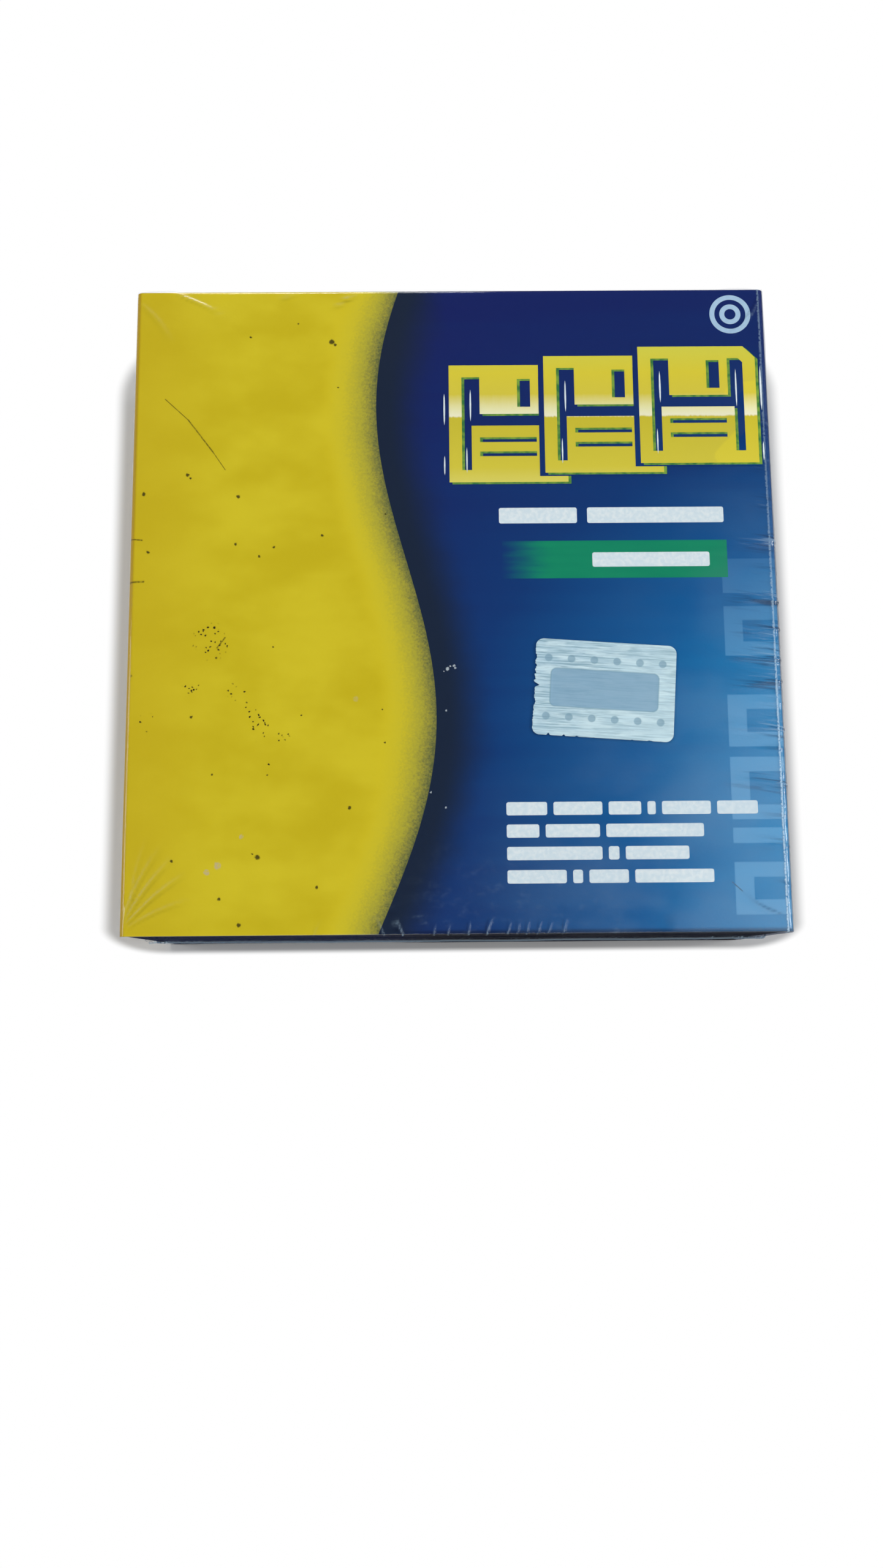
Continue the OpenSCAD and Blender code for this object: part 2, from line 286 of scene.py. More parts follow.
# Each scratch: start, end and half width
SCRATCHES = [((-42.7, 31.3), (-39.2, 28.0), 0.1), ((-39.2, 28.0), (-35.4, 22.9), 0.15),
             ((-35.4, 22.9), (-33.6, 20.2), 0.1), ((-34.3, -6.9), (-33.2, -5.4), 0.16),
             ((-47.4, 9.6), (-45.6, 9.4), 0.16), ((-47.4, 3.0), (-45.2, 3.1), 0.2),
             ((38.9, -41.4), (40.3, -42.7), 0.1)]
for start, end, width in SCRATCHES:
    dirt = (scratch(printed, x, y, start, end, width) * fine.rise(0.3, 0.55, 0.35, 0.85)).over(dirt)
ink = printed.blend(dirt * 0.9 * front, ink, colour(46, 38, 16))
# Each scuff: place, radius and strength
SCUFFS = [(-33.7, -38.5, 0.5, 1.0), (-35.2, -39.5, 0.42, 1.0), (-30.4, -34.4, 0.3, 1.0),
          (-14.2, -14.6, 0.4, 0.5)]
scuffs = 0.0
for *spot, strength in SCUFFS:
    scuffs = (speck(printed, flat, *spot) * strength).over(scuffs)
ink = printed.blend(scuffs * fine.rise(0.3, 0.5) * 0.75, ink, colour(184, 168, 140))
PALE_SPECKS = [(-1.0, -10.3, 0.24), (-0.6, -9.9, 0.15), (0.0, -9.8, 0.2), (0.1, -10.2, 0.16),
               (-1.5, -10.6, 0.12), (-3.5, -28.3, 0.14), (-1.2, -16.4, 0.12), (-1.4, -30.5, 0.14)]
for spot in PALE_SPECKS:
    ink = printed.blend(speck(printed, flat, *spot) * 0.75, ink, colour(190, 200, 205))

# The cut edge of the front panel shows the board's own grey pulp
pulp = printed.blend(fine, colour(120, 118, 112), colour(150, 148, 140))
cut_edge = (abs(y) > board_high.y - 0.02) * (z > BOARD_TOP - BOARD_T)
ink = printed.blend(cut_edge, ink, pulp)

# Varnish: even, with the board's fibre just showing through
fibre = printed.grain(point, (0.5, 0.5, 0.5), 4.0)
sockets = {"Base Color": ink, "Roughness": fibre.rise(0.2, 0.8, 0.36, 0.48).over(cut_edge * 0.9),
           "Normal": printed.bump(fibre, 0.12, 0.0002), "Specular IOR Level": 0.0}
printed_board = printed.surface(printed.add("BsdfPrincipled", None, sockets))
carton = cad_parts["carton"]
carton.data.materials.clear()
carton.data.materials.append(printed_board)


# Drawn disks: three gold line drawings of a floppy disk, one over the other, printed in gold ink with a
# green shaded side. Each lies on a plate of the blue field, which hides what is behind it.
MARK_W, MARK_H, MARK_STEP, MARK_RISE, MARK_STROKE = 17.6, 18.4, 14.2, 1.4, 1.9
MARK_RIGHT, MARK_TOP, MARK_COUNT, MARK_CUT = 45.6, 39.2, 3, 1.76
SHADE_X, SHADE_Y = 0.42, -0.3
INK_LAYER = 0.009
# Parts of the drawing, as shares of its width and height: left, right, bottom and top
SHUTTER = [(0.26, 0.58, 0.58, 1), (0.69, 0.76, 0.58, 1), (0.58, 0.69, 0.58, 0.64), (0.58, 0.69, 0.88, 1)]
LABEL = [(0.19, 0.81, 0, 0.22), (0.19, 0.26, 0.22, 0.38), (0.74, 0.81, 0.22, 0.38),
         (0.26, 0.74, 0.26, 0.34), (0.19, 0.81, 0.38, 0.48)]


def place_of(piece):
    """The points of a piece in millimetres, as rows of an array."""
    points = np.empty(len(piece.data.vertices) * 3)
    piece.data.vertices.foreach_get("co", points)
    return points.reshape(-1, 3) / MM


def set_places(piece, points):
    piece.data.vertices.foreach_set("co", (points * MM).ravel())
    piece.data.update()


def edit(step):
    """Runs a step in edit mode on the active piece, with all of it selected."""
    bpy.ops.object.mode_set(mode="EDIT")
    bpy.ops.mesh.select_all(action="SELECT")
    step()
    bpy.ops.object.mode_set(mode="OBJECT")


def raise_ink(thickness=INK_LAYER):
    """Gives the active flat plate its thickness."""
    def extrude():
        bpy.ops.mesh.extrude_region_move(TRANSFORM_OT_translate={"value": (0, 0, thickness * MM)})
        bpy.ops.mesh.select_all(action="SELECT")
        bpy.ops.mesh.normals_make_consistent(inside=False)
    edit(extrude)


def flat_plate(left, right, bottom, top, base, corner=0):
    """A flat rectangle at this place, active and unscaled, with its corners rounded off."""
    middle = ((left + right) / 2 * MM, (bottom + top) / 2 * MM, base * MM)
    bpy.ops.mesh.primitive_plane_add(size=MM, location=middle)
    plate = bpy.context.object
    plate.scale = (right - left, top - bottom, 1)
    bpy.ops.object.transform_apply(location=True, rotation=True, scale=True)
    if corner:
        edit(lambda: bpy.ops.mesh.bevel(affect="VERTICES", offset=corner * MM, segments=4))
    return plate


def cut_corner(plate):
    """Cuts the top right corner off a plate, as a disk has it."""
    corner = max(plate.data.vertices, key=lambda v: v.co.x + v.co.y).index
    bpy.ops.object.mode_set(mode="EDIT")
    bpy.ops.mesh.select_all(action="DESELECT")
    bpy.ops.object.mode_set(mode="OBJECT")
    plate.data.vertices[corner].select = True
    bpy.ops.object.mode_set(mode="EDIT")
    bpy.ops.mesh.select_mode(type="VERT")
    bpy.ops.mesh.bevel(affect="VERTICES", offset=MARK_CUT * MM, segments=1)
    bpy.ops.object.mode_set(mode="OBJECT")


def to_frame(stroke):
    """Leaves only a frame of this width round the outline of the active plate."""
    def inset():
        bpy.ops.mesh.inset(thickness=stroke * MM)
        bpy.ops.mesh.delete(type="FACE")
    edit(inset)


def gather(pieces, name, finish):
    """Joins pieces into one with this name, finish and slot, riding on the pack."""
    bpy.ops.object.select_all(action="DESELECT")
    for piece in pieces:
        piece.select_set(True)
    bpy.context.view_layer.objects.active = pieces[0]
    if len(pieces) > 1:
        bpy.ops.object.join()
    whole = bpy.context.object
    bpy.ops.object.transform_apply(location=True, rotation=True, scale=True)
    whole.name = whole.data.name = name
    whole.data.materials.clear()
    whole.data.materials.append(finish)
    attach(whole, "root")
    bpy.ops.object.select_all(action="DESELECT")
    return whole


def disk_drawing(right, top, base):
    """One drawn disk as one piece: its shell, its shutter with the window, and its ruled label."""
    left, bottom = right - MARK_W, top - MARK_H
    inner = MARK_STROKE * 0.9
    shell = flat_plate(left, right, bottom, top, base)
    cut_corner(shell)
    to_frame(MARK_STROKE)
    raise_ink(INK_LAYER * 0.8)
    parts = [shell]
    for start, end, low, high in SHUTTER + LABEL:
        low_y = max(bottom + low * MARK_H, bottom + inner)
        high_y = min(bottom + high * MARK_H, top - inner)
        parts.append(flat_plate(left + start * MARK_W, left + end * MARK_W, low_y, high_y, base))
        raise_ink(INK_LAYER * 0.7)
    for part in parts:
        part.select_set(True)
    bpy.context.view_layer.objects.active = shell
    bpy.ops.object.join()
    return shell


def copied(piece, x, y, z):
    """A copy of a piece with its own mesh, moved by this much."""
    bpy.ops.object.select_all(action="DESELECT")
    piece.select_set(True)
    bpy.context.view_layer.objects.active = piece
    bpy.ops.object.duplicate_move(TRANSFORM_OT_translate={"value": (x * MM, y * MM, z * MM)})
    bpy.ops.object.transform_apply(location=True, rotation=True, scale=True)
    return bpy.context.object


gold = Finish("gold_ink")
point, x, y, z = gold.place()
weave = gold.grain(point, (0.3, 3.0, 1.0), 2.0)
GOLD_FOOT, GOLD_RISE = 17.8, 21.2
height = (y - GOLD_FOOT) / GOLD_RISE + (weave - 0.5) * 0.02
stops = [(0.0, colour(214, 204, 96)), (0.12, colour(206, 192, 60)), (0.485, colour(196, 182, 48)),
         (0.497, colour(232, 228, 196)), (0.55, colour(226, 222, 168)), (0.66, colour(208, 192, 62)),
         (0.82, colour(212, 196, 54)), (1.0, colour(206, 200, 70))]
face = gold.add("ValToRGB", {"stops": stops}, {"Fac": height})
sockets = {"Base Color": face, "Roughness": weave.rise(0.2, 0.8, 0.3, 0.42), "Specular IOR Level": 0.1}
gold_ink = gold.surface(gold.add("BsdfPrincipled", None, sockets))

green = Finish("green_ink")
point, x, y, z = green.place()
tone = green.grain(point, (1.2, 1.2, 1.0), 2.0)
sockets = {"Base Color": green.blend(tone.rise(0.3, 0.7), colour(48, 112, 58), colour(120, 158, 60)),
           "Roughness": tone.rise(0.0, 1.0, 0.36, 0.46), "Specular IOR Level": 0.1}
green_ink = green.surface(green.add("BsdfPrincipled", None, sockets))

# The rightmost disk is modelled once, on the board, and copied into its layers. Each disk to the left of it
# lies a step over and three layers lower. The original is then taken away.
drawing = disk_drawing(MARK_RIGHT, MARK_TOP, BOARD_TOP)
backing = flat_plate(MARK_RIGHT - MARK_W - 0.8, MARK_RIGHT + 0.3,
                     MARK_TOP - MARK_H - 0.5, MARK_TOP + 0.5, BOARD_TOP)
cut_corner(backing)
raise_ink(INK_LAYER * 0.8)
backs, shades, faces = [], [], []
for index in range(MARK_COUNT):
    left_by = (MARK_COUNT - 1 - index) * MARK_STEP
    down_by = (MARK_COUNT - 1 - index) * MARK_RISE
    layer = (1 + 3 * index) * INK_LAYER
    if index:
        backs.append(copied(backing, -left_by, -down_by, layer))
    shades.append(copied(drawing, SHADE_X - left_by, SHADE_Y - down_by, layer + INK_LAYER))
    faces.append(copied(drawing, -left_by, -down_by, layer + 2 * INK_LAYER))
for original in (drawing, backing):
    bpy.data.meshes.remove(original.data)
gather(backs, "blue_backing", printed_board)
gather(shades, "drawn_disks_shade", green_ink)
gather(faces, "drawn_disks", gold_ink)


# Glints: thin strokes of white ink printed beside the gold lines, where a polished edge would catch the
# light. Each is pointed at both ends, and they lie on top of the drawn disks.
white = Finish("white_ink")
point, x, y, z = white.place()
mottle = white.grain(point, (0.6, 0.6, 1.0), 3.0)
sockets = {"Base Color": white.blend(mottle.rise(0.35, 0.7), colour(204, 218, 224), colour(220, 228, 230)),
           "Roughness": mottle.rise(0.0, 1.0, 0.34, 0.44), "Specular IOR Level": 0.1}
white_ink = white.surface(white.add("BsdfPrincipled", None, sockets))


def glint(x, y, length, width, base):
    """One stroke, pointed at both ends and widest at its middle."""
    place = (x * MM, y * MM, base * MM)
    bpy.ops.mesh.primitive_circle_add(vertices=8, radius=MM, fill_type="NGON", location=place)
    stroke = bpy.context.object
    stroke.scale = (width / 2, length / 2, 1)
    bpy.ops.object.transform_apply(location=True, rotation=True, scale=True)
    raise_ink()
    return stroke


top_layer = BOARD_TOP + (3 * MARK_COUNT + 1) * INK_LAYER
# Each glint: place, length and width
GLINTS = [(46.3, 32.5, 7.0, 0.3), (31.2, 32.8, 5.0, 0.26), (42.6, 32.6, 6.0, 0.24), (30.6, 24.2, 4.0, 0.22),
          (46.3, 22.6, 3.0, 0.24), (17.0, 31.4, 5.0, 0.26), (16.4, 22.8, 4.0, 0.22), (2.8, 30.0, 5.0, 0.26),
          (-1.1, 29.4, 5.0, 0.26), (-1.1, 20.6, 3.0, 0.22), (2.2, 21.4, 4.0, 0.22)]
gather([glint(*values, top_layer) for values in GLINTS], "light_strokes", white_ink)


# Roundel: a plain ringed dot in the top right corner of the front, printed in pale ink straight on to the
# blue. Its outer ring and its dot are each a ring of the same stroke.
ROUNDEL_X, ROUNDEL_Y, ROUNDEL_R, ROUNDEL_DOT, ROUNDEL_STROKE = 42.2, 44.4, 3.1, 1.6, 0.75


def ring(x, y, radius, stroke):
    """A flat ring of ink, active and unscaled."""
    bpy.ops.mesh.primitive_circle_add(vertices=64, radius=radius * MM, fill_type="NGON",
                                      location=(x * MM, y * MM, (BOARD_TOP + INK_LAYER) * MM))
    whole = bpy.context.object
    bpy.ops.object.transform_apply(location=True, rotation=True, scale=True)
    to_frame(stroke)
    raise_ink()
    return whole


pale = Finish("pale_ink")
point, x, y, z = pale.place()
mottle = pale.grain(point, (0.7, 0.7, 1.0), 3.0)
sockets = {"Base Color": pale.blend(mottle, colour(150, 182, 208), colour(176, 202, 222)),
           "Roughness": mottle.rise(0.0, 1.0, 0.34, 0.44), "Specular IOR Level": 0.1}
pale_ink = pale.surface(pale.add("BsdfPrincipled", None, sockets))
rings = [ring(ROUNDEL_X, ROUNDEL_Y, radius, ROUNDEL_STROKE) for radius in (ROUNDEL_R, ROUNDEL_DOT)]
gather(rings, "roundel", pale_ink)


# Lines of print: rows of plain bars in opaque white ink, with rounded ends. A title of two bars stands over
# the green band, one bar lies on the band, and four finer rows stand at the foot of the front.
TITLE_ROW = (6.8, 39.9, 11.6, 14.0, [4, 7], 1.5)
BAND_ROW = (20.4, 37.6, 4.9, 7.1, [1], 0)
# Each finer row: right end, bottom, and the widths of its bars in proportion
FINE_ROWS = [(43.0, -31.7, [5, 6, 4, 1, 6, 5]), (35.2, -34.9, [3, 5, 9]), (33.0, -38.1, [9, 1, 6]),
             (36.4, -41.4, [6, 1, 4, 8])]
FINE_LEFT, FINE_H, FINE_GAP = 7.2, 1.9, 0.9
BAR_CORNER = 0.3


def words(left, right, bottom, top, widths, gap):
    """A row of bars from left to right, whose widths are in these proportions."""
    unit = (right - left - gap * (len(widths) - 1)) / sum(widths)
    bars = []
    for width in widths:
        base = BOARD_TOP + 2 * INK_LAYER
        bars.append(flat_plate(left, left + width * unit, bottom, top, base, BAR_CORNER))
        raise_ink()
        left += width * unit + gap
    return bars


bars = words(*TITLE_ROW)
for right, bottom, widths in FINE_ROWS:
    bars += words(FINE_LEFT, right, bottom, bottom + FINE_H, widths, FINE_GAP)
bars += words(*BAND_ROW)
gather(bars, "word_bars", white_ink)


# Green band: one strip of green ink under the title bars. It fades in out of the blue at its left, is full
# green from there to its right end, and carries one bar.
BAND_LEFT, BAND_RIGHT, BAND_FOOT, BAND_HEAD = 7.2, 40.2, 3.2, 8.9
band = Finish("green_band_ink")
point, x, y, z = band.place()
streaks = band.grain(point, (8, 0.8, 1.0), 3.0)
strength = (x + (streaks - 0.5) * 4).rise(6.5, 15.0)
full = band.blend(streaks, colour(12, 122, 92), colour(22, 138, 98))
sockets = {"Base Color": band.blend(strength, blue_field(band, point, x, y), full),
           "Roughness": streaks.rise(0.0, 1.0, 0.36, 0.46), "Specular IOR Level": 0.0}
band_ink = band.surface(band.add("BsdfPrincipled", None, sockets))
band_plate = flat_plate(BAND_LEFT, BAND_RIGHT, BAND_FOOT, BAND_HEAD, BOARD_TOP + 0.2 * INK_LAYER)
raise_ink()
gather([band_plate], "green_band", band_ink)


# Shrink film: one sheet of clear film shrunk tight with hot air. It is drawn over the edges in a tight
# curve, gathers in pleats at the right and bottom edges, fans out of the corners, and is welded half way
# down three sides. Its inner wall is a plain box that clears the ink.
PACK_W, PACK_H, PACK_D = 95.0, 97.0, 36.0
FILM_FOLD, FILM_CUT = 1.02, 0.3
SEAM_PROUD, SEAM_HALF = 0.36, 0.3
EAR_X, EAR_HALF, EAR_PROUD = 43.6, 2.6, 0.36
INNER_GAP, INNER_GAP_DEEP = 0.06, 0.025
STICKER_X, STICKER_Y, STICKER_W, STICKER_H, STICKER_TURN = 21.6, -13.6, 20.4, 14.2, -4.0
# Each pleat: place along its edge, length, height, half width and slant
RIGHT_PLEATS = [(27, 4, 0.04, 0.5, 0.05), (20.5, 4, 0.04, 0.5, -0.05), (14.5, 5, 0.05, 0.5, 0.05),
                (8.7, 7, 0.12, 0.6, -0.05), (4.0, 5, 0.05, 0.5, 0.05), (-0.5, 9, 0.13, 0.6, 0.06),
                (-4.8, 8, 0.13, 0.55, -0.05), (-7.2, 5, 0.06, 0.4, 0.08), (-9.2, 9, 0.12, 0.6, 0.05),
                (-12.4, 9, 0.12, 0.6, -0.08), (-15.6, 5, 0.06, 0.5, 0.05), (-19.5, 10, 0.13, 0.7, 0.07),
                (-22.3, 5, 0.05, 0.4, -0.05), (-27.6, 10, 0.12, 0.7, 0.08), (-31.5, 5, 0.05, 0.5, -0.05),
                (-36.5, 6, 0.07, 0.6, 0.05), (-42.0, 4, 0.05, 0.5, 0.05)]
BOTTOM_PLEATS = [(-20.1, 2.2, 0.07, 0.35, 0.3), (-10.4, 3.0, 0.14, 0.4, -0.4), (-7.6, 4.4, 0.18, 0.45, -0.5),
                 (-3.3, 1.8, 0.12, 0.35, 0.1), (-1.3, 1.8, 0.12, 0.35, 0.1), (1.4, 2.2, 0.14, 0.35, 0.15),
                 (4.1, 2.8, 0.18, 0.45, 0.3), (6.9, 2.2, 0.13, 0.35, 0.25), (8.3, 2.2, 0.13, 0.35, 0.2),
                 (9.7, 2.4, 0.13, 0.35, 0.2), (11.3, 2.4, 0.13, 0.35, 0.2), (12.6, 2.2, 0.12, 0.35, 0.3),
                 (14.7, 2.6, 0.14, 0.4, 0.3), (22.0, 3.0, 0.06, 0.7, 0.2), (30.0, 3.0, 0.06, 0.7, 0.2)]
SHARP_PLEATS = BOTTOM_PLEATS[:13]
# Each crease of a corner fan: start, end, height and half width
CREASES = [((-46.6, -46.4), (-39.6, -37.2), 0.12, 0.5), ((-46.8, -46.0), (-41.4, -35.6), 0.1, 0.5),
           ((-46.4, -46.8), (-37.8, -39.6), 0.12, 0.5), ((-46.2, -47.2), (-37.0, -43.4), 0.08, 0.45),
           ((-45.8, -44.4), (-43.4, -34.4), 0.06, 0.4), ((-41.6, 48.0), (-33.6, 43.6), 0.1, 0.45),
           ((-46.8, 46.6), (-42.0, 40.0), 0.06, 0.6), ((-25.5, 46.6), (-23.2, 47.6), 0.08, 0.4),
           ((-17.0, 45.8), (-13.8, 47.6), 0.1, 0.45), ((46.6, 46.8), (42.0, 41.0), 0.06, 0.5),
           ((46.2, -46.4), (40.0, -43.0), 0.08, 0.6), ((-6.8, -45.8), (-4.0, -47.6), 0.08, 0.35)]


def walk(low, high, step_at):
    """Grid lines from low to high, as far apart as step_at says at each place."""
    lines = [low]
    while lines[-1] < high:
        lines.append(lines[-1] + step_at(lines[-1]))
    share = (high - low) / (lines[-1] - low)
    return np.array([low + (line - low) * share for line in lines])


def column_step(x):
    """The grid's step across the front: finest at the folds, and fine at the pleats and near the sides."""
    to_pleat = min(abs(x - pleat[0]) for pleat in SHARP_PLEATS)
    if abs(x) > PACK_W / 2 - 1.3:
        return 0.17
    return 0.22 if to_pleat < 1.1 else 0.32 if abs(x) > 36 else 1.1


def row_step(y):
    """The same up the front."""
    to_pleat = min(abs(y - pleat[0]) for pleat in RIGHT_PLEATS)
    if abs(y) > PACK_H / 2 - 0.35:
        return 0.08
    return 0.25 if to_pleat < 1.0 else 0.32 if abs(y) > 38 else 0.8


def drawn_in(first, second, limit_first, limit_second, radius):
    """Pulls the points outside a rounded edge on to it. Both arrays are measured from the middle."""
    past_first = np.abs(first) - (limit_first - radius)
    past_second = np.abs(second) - (limit_second - radius)
    reach = np.hypot(past_first, past_second)
    at_edge = (past_first > 0) & (past_second > 0) & (reach > radius)
    share = np.where(at_edge, radius / np.maximum(reach, 1e-9), 1.0)
    first[:] = np.where(at_edge, np.sign(first) * (limit_first - radius + past_first * share), first)
    second[:] = np.where(at_edge, np.sign(second) * (limit_second - radius + past_second * share), second)


def fold_lines(offset, half_width, height):
    """A fold in section: its height, a rounded crest between two dips, the painted highlight on its flank
    toward the light, the painted shade on its other flank, and how far it draws the film round it into fine
    wrinkles."""
    t = offset / half_width
    crest = np.where(np.abs(t) < 1, (1 - np.minimum(np.abs(t), 1) ** 2) ** 2, 0)
    dip = np.exp(-((np.abs(t) - 1.5) / 0.45) ** 2)
    strength = np.clip(height / 0.16, 0, 1.2)
    light = strength * np.exp(-((t - 0.5) / 0.34) ** 2)
    dark = strength * np.exp(-((t + 0.62) / 0.3) ** 2)
    gathered = strength * np.exp(-(offset / 1.25) ** 2)
    return np.array([height * (crest - 0.22 * dip), light, dark, gathered])


def pleats_at(along, inward, down, pleats):
    """The pleats of one edge, from places along it, in from it and down its side."""
    total = np.zeros((4, len(along)))
    for place, length, height, half_width, slant in pleats:
        reach = np.maximum(inward, 0) / length
        fade = np.clip(1 - reach, 0, 1) ** 1.2 * np.clip(1 - down / (0.8 * length), 0, 1)
        spread = half_width * (0.6 + 0.8 * np.clip(reach, 0, 1))
        offset = along - place - slant * inward - 0.08 * np.sin(inward * 0.9 + place)
        total += fold_lines(offset, spread, height * fade)
    return total


def creases_at(x, y):
    """The creases that fan out of the corners."""
    total = np.zeros((4, len(x)))
    for start, end, height, half_width in CREASES:
        run = np.subtract(end, start)
        length = math.hypot(*run)
        along = ((x - start[0]) * run[0] + (y - start[1]) * run[1]) / length
        across = (-(x - start[0]) * run[1] + (y - start[1]) * run[0]) / length
        share = np.clip(along / length, 0, 1)
        fade = np.sin(np.pi * share ** 0.6) * (along > 0) * (along < length)
        spread = half_width * (0.7 + 0.6 * share)
        total += fold_lines(across - 0.5 * np.sin(share * 3), spread, height * fade)
    return total


def crinkle(points, sizes, seed):
    """Seeded noise about 0 at each point, with features of these sizes."""
    return np.array([noise.noise(Vector((p[0] / sizes[0] + seed, p[1] / sizes[1], p[2] / sizes[2])))
                     for p in points])


def film_relief(points):
    """How far the film stands off its smooth shape at each point, then the painted highlights on its flanks
    toward the light, the painted shade on its other flanks and where it is gathered."""
    x, y, z = points.T
    down = PACK_D - z
    on_front = np.clip((z - PACK_D + 1.2) / 1.0, 0, 1)
    on_sides = (z > 1) & (z < PACK_D - 1)
    right_in = PACK_W / 2 - x
    bottom_in = y + PACK_H / 2
    right_folds = pleats_at(y, right_in, down, RIGHT_PLEATS) * (x > 0)
    right_folds[1:3] *= 0.3
    folds = pleats_at(x, bottom_in, down, BOTTOM_PLEATS) * (bottom_in < 8)
    folds += creases_at(x, y) * on_front
    folds[3] *= 0
    folds += right_folds
    corner_near = np.maximum(np.exp(-(PACK_W / 2 - np.abs(x)) / 6), 0) * (np.abs(y) > PACK_H / 2 - 0.5)
    corner_near += np.exp(-(PACK_H / 2 - np.abs(y)) / 6) * (np.abs(x) > PACK_W / 2 - 0.5)
    puckers = on_sides * np.exp(-np.abs(z - PACK_D / 2) / 3.0) * (0.3 + np.minimum(corner_near, 1))
    puckers *= np.where(x < -PACK_W / 2 + 0.5, 0.4, 1)
    folds[3] += puckers
    relief = folds[0] + puckers * 0.09 * crinkle(points, (1.1, 1.1, 6), 31.0)
    rough_edge = np.exp(-((right_in - 0.6) / 1.3) ** 2) * np.clip((22 - y) / 26, 0.15, 1) * (down < 5)
    rough_edge += 0.5 * np.exp(-((bottom_in - 0.6) / 1.2) ** 2) * np.clip((x + 24) / 20, 0.1, 1) * (down < 5)
    relief += rough_edge * 0.05 * crinkle(points, (0.9, 0.8, 1.5), 3.0)
    near_rim = np.clip(1 - np.minimum(right_in, bottom_in) / 12, 0, 1)
    relief += (0.05 + 0.1 * near_rim) * crinkle(points, (13, 9, 9), 11.0) * on_front
    relief += 0.10 * crinkle(points, (9, 16, 7), 23.0) * on_sides
    welded = np.exp(-((z - PACK_D / 2) / SEAM_HALF) ** 2)
    relief += SEAM_PROUD * welded * np.where(x < -PACK_W / 2 + 0.5, 0.3, 1)
    ears = np.exp(-((np.abs(x) - EAR_X) / EAR_HALF) ** 4) * np.exp(-((z - PACK_D + 0.5) / 0.45) ** 2)
    relief += EAR_PROUD * ears * (y > PACK_H / 2 - 0.5)
    turn = math.radians(STICKER_TURN)
    from_x, from_y = x - STICKER_X, y - STICKER_Y
    along = np.abs(from_x * math.cos(turn) + from_y * math.sin(turn)) - STICKER_W / 2
    up = np.abs(from_y * math.cos(turn) - from_x * math.sin(turn)) - STICKER_H / 2
    clear_of_sticker = np.clip(np.maximum(along, up) / 2, 0, 1)
    resting = np.clip(z / 0.6, 0, 1)
    return relief * clear_of_sticker * resting, folds[1:]


def wrap_down():
    """Runs the sheet's rim down the sides and closes it with the back, which gets a few rings."""
    bpy.ops.mesh.region_to_loop()
    for step in np.diff(LEVELS):
        bpy.ops.mesh.extrude_edges_move(TRANSFORM_OT_translate={"value": (0, 0, float(step) * MM)})
    bpy.ops.mesh.edge_face_add()
    for inset in (0.15, 0.3, 0.6, 3.0):
        bpy.ops.mesh.inset(thickness=inset * MM)
    bpy.ops.mesh.select_all(action="SELECT")
    bpy.ops.mesh.normals_make_consistent(inside=False)


columns = walk(-PACK_W / 2, PACK_W / 2, column_step)
rows = walk(-PACK_H / 2, PACK_H / 2, row_step)
# Levels of the rim down the sides, close together at the top edge and at the seam
NEAR_EDGE = [0.0, 0.08, 0.16, 0.3, 0.5, 0.75, 1.05, 1.7, 2.7, 4.5, 8.0, 12.5]
NEAR_SEAM = [-0.7, -0.4, -0.2, 0.0, 0.2, 0.4, 0.7]
LEVELS = [PACK_D - v for v in NEAR_EDGE] + [PACK_D / 2 - v for v in NEAR_SEAM] + NEAR_EDGE[::-2]
bpy.ops.mesh.primitive_grid_add(x_subdivisions=len(columns) - 1, y_subdivisions=len(rows) - 1, size=2)
film = bpy.context.object
points = place_of(film)
for axis, lines in ((0, columns), (1, rows)):
    rank = np.unique(np.round(points[:, axis]), return_inverse=True)[1]
    points[:, axis] = lines[rank]
points[:, 2] = PACK_D
set_places(film, points)
edit(wrap_down)
points = place_of(film)
x, y, z = points[:, 0].copy(), points[:, 1].copy(), points[:, 2] - PACK_D / 2
drawn_in(x, z, PACK_W / 2, PACK_D / 2, FILM_FOLD)
drawn_in(y, z, PACK_H / 2, PACK_D / 2, FILM_CUT)
drawn_in(x, y, PACK_W / 2, PACK_H / 2, FILM_CUT)
set_places(film, np.stack([x, y, z + PACK_D / 2], axis=1))
points = place_of(film)
outward = np.array([v.normal[:] for v in film.data.vertices])
relief, flanks = film_relief(points)
points += outward * relief[:, None]
points[:, 2] = np.maximum(points[:, 2], 0)
set_places(film, points)
for name, values in zip(("light_flank", "dark_flank", "gathered"), flanks):
    mask = film.data.attributes.new(name, "FLOAT", "POINT")
    mask.data.foreach_set("value", np.clip(values, 0, 1))
bpy.ops.object.shade_smooth_by_angle(angle=math.radians(60))

bpy.ops.mesh.primitive_cube_add(size=MM, location=(0, 0, PACK_D / 2 * MM))
inner = bpy.context.object
inner.scale = (PACK_W - 2 * INNER_GAP, PACK_H - 2 * INNER_GAP, PACK_D - 2 * INNER_GAP_DEEP)
bpy.ops.object.transform_apply(location=True, rotation=True, scale=True)
edit(bpy.ops.mesh.flip_normals)

# The film is clear, with a whitish cloud that is partly its own milkiness and weld and partly painted
# reflection and painted highlight, painted highlights and painted shade on the flanks of its folds, and a
# thin gloss
clear = Finish("shrink_film")
point, x, y, z = clear.place()
mottle = clear.grain(point, (1.6, 1.2, 1.6), 5.0, 0.65)
broad = clear.grain(point, (18, 12, 12), 3.0)
tight = clear.grain(point, (0.5, 0.35, 0.5), 4.0)
low_right = (x - y * 0.6).rise(14, 76)
bottom_haze = y.rise(-31, -44) * x.rise(-14, -4) * x.rise(34, 14)
# Painted highlight: a broken white line along the right fold, where the fold would catch the lamp
fold_line = abs(x - 46.5 + (tight - 0.5) * 0.5).rise(0.24, 0.06) * (z > PACK_D - 1.4)
fold_highlight = fold_line * y.rise(18, -30, 0.35, 1.0) * tight.rise(0.3, 0.5)
